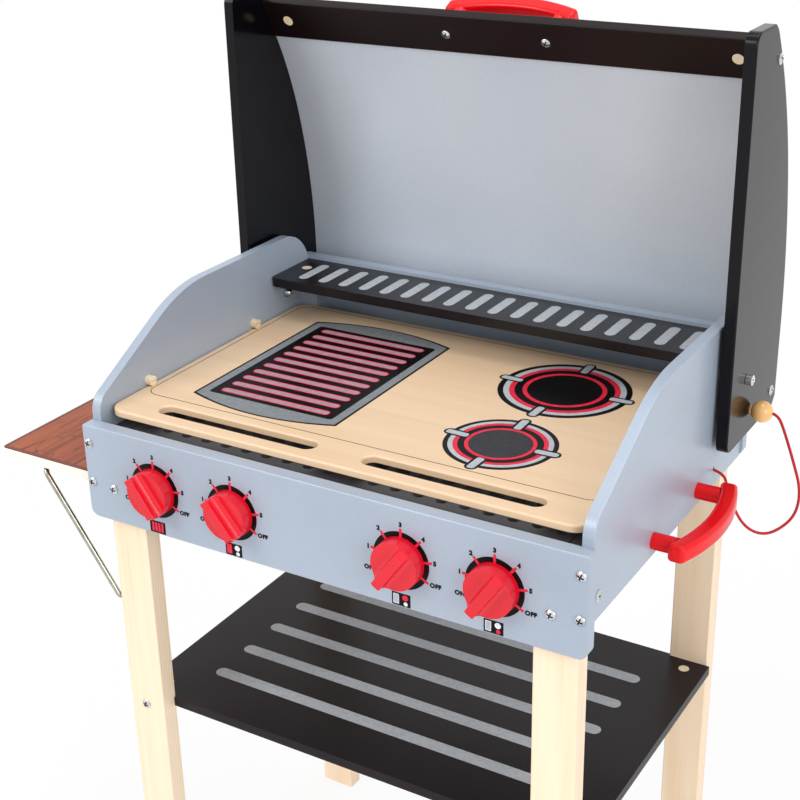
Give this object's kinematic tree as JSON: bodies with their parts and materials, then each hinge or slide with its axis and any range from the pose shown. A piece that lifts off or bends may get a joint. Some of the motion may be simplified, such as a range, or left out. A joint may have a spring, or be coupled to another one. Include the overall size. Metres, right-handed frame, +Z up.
{
  "type": "toy barbecue grill",
  "caption": "Wooden play grill on four legs with a hinged lid held open by a corded peg, turning dials, a printed cooktop, a warming rack and a folding side shelf.",
  "frame": {"origin": "on the floor, under the middle of the object's bounding box without the cord", "axes": "+Z up, the longest extent; +Y from the dials to the back; +X to the right as a user faces it"},
  "size_m": [0.6461, 0.397, 0.901],
  "materials": {
    "silver_paint": "satin silver paint on board",
    "birch": "clear lacquer",
    "beech": "clear lacquer with printed hob and grate",
    "dark_board": "satin black-brown paint",
    "black_paint": "gloss black paint",
    "lid_silver": "satin silver paint on a thin bent board",
    "zinc_bolts": "bright zinc plate",
    "cream_plastic": "moulded",
    "red_paint": "satin red paint",
    "cord_fabric": "braided",
    "hinge_steel": "zinc plate",
    "stay_chrome": "bright wire",
    "peg_wood": "clear lacquer",
    "brown_board": "printed plank grain with a pale edge"
  },
  "bodies": {
    "stand": {"front_panel": "silver_paint", "back_panel": "silver_paint", "side_panel_left": "silver_paint", "side_panel_right": "silver_paint", "leg_front_left": "birch", "leg_front_right": "birch", "leg_rear_left": "birch", "leg_rear_right": "birch", "lower_shelf": "dark_board", "shelf_bolts": "zinc_bolts", "shelf_barrel_nuts": "cream_plastic", "tray_board": "dark_board", "cooktop_rails": "birch", "cooktop": "beech", "board_pins": "cream_plastic", "warming_rack": "black_paint", "rack_post_left": "silver_paint", "rack_post_right": "silver_paint", "rack_bolts": "zinc_bolts", "rack_barrel_nuts": "cream_plastic", "panel_screws": "zinc_bolts", "back_screws": "zinc_bolts", "leg_bolts": "zinc_bolts", "side_handle": "red_paint", "side_handle_posts": "red_paint", "side_handle_screws": "zinc_bolts", "pivot_bolts": "zinc_bolts", "pivot_spacers": "zinc_bolts", "pivot_nuts": "zinc_bolts", "red_cord": "cord_fabric", "cord_knot": "cord_fabric", "shelf_hinge_leaves": "hinge_steel", "shelf_hinge_pins": "hinge_steel", "hinge_leaf_screws": "zinc_bolts", "stay_clips": "hinge_steel", "stay_clip_screws": "zinc_bolts"},
    "lid": {"lid_side_left": "black_paint", "lid_side_right": "black_paint", "lid_skin": "lid_silver", "lid_front_bar": "black_paint", "lid_rear_bar": "black_paint", "lid_bolts": "zinc_bolts", "lid_barrel_nuts": "cream_plastic", "lid_handle": "red_paint", "lid_handle_posts": "red_paint", "lid_handle_screws": "zinc_bolts"},
    "peg": {"lock_peg": "peg_wood", "peg_ball": "peg_wood"},
    "shelf": {"side_shelf": "brown_board", "shelf_moving_leaves": "hinge_steel", "shelf_leaf_screws": "zinc_bolts"},
    "stay": {"wire_stay": "stay_chrome"},
    "dial_1": {"knob_1": "red_paint", "knob_screw_1": "zinc_bolts"},
    "dial_2": {"knob_2": "red_paint", "knob_screw_2": "zinc_bolts"},
    "dial_3": {"knob_3": "red_paint", "knob_screw_3": "zinc_bolts"},
    "dial_4": {"knob_4": "red_paint", "knob_screw_4": "zinc_bolts"}
  },
  "joints": [
    {"name": "lid_pivot", "type": "hinge", "parent": "stand", "child": "lid", "pos_m": [0.0377, 0.1105, 0.6095], "axis": [1, 0, 0], "range_deg": [0, 88], "deforming": ["red_cord"]},
    {"name": "peg_slide", "type": "slide", "parent": "lid", "child": "peg", "axis": [1, 0, 0], "range_m": [0, 0.03], "deforming": ["red_cord"]},
    {"name": "side_shelf_hinge", "type": "hinge", "parent": "stand", "child": "shelf", "pos_m": [-0.1985, -0.006, 0.5154], "axis": [0, -1, 0], "range_deg": [0, 90]},
    {"name": "wire_stay_pivot", "type": "hinge", "parent": "stand", "child": "stay", "pos_m": [-0.1898, -0.006, 0.403], "axis": [0, -1, 0], "range_deg": [0, 144]},
    {"name": "knob_1_turn", "type": "hinge", "parent": "stand", "child": "dial_1", "pos_m": [-0.1223, -0.1775, 0.5345], "axis": [0, -1, 0], "continuous": true},
    {"name": "knob_2_turn", "type": "hinge", "parent": "stand", "child": "dial_2", "pos_m": [-0.0423, -0.1775, 0.5345], "axis": [0, -1, 0], "continuous": true},
    {"name": "knob_3_turn", "type": "hinge", "parent": "stand", "child": "dial_3", "pos_m": [0.1177, -0.1775, 0.5345], "axis": [0, -1, 0], "continuous": true},
    {"name": "knob_4_turn", "type": "hinge", "parent": "stand", "child": "dial_4", "pos_m": [0.1977, -0.1775, 0.5345], "axis": [0, -1, 0], "continuous": true}
  ],
  "couplings": [
    {"joint": "wire_stay_pivot", "follows": "side_shelf_hinge", "ratio": 1.6}
  ]
}
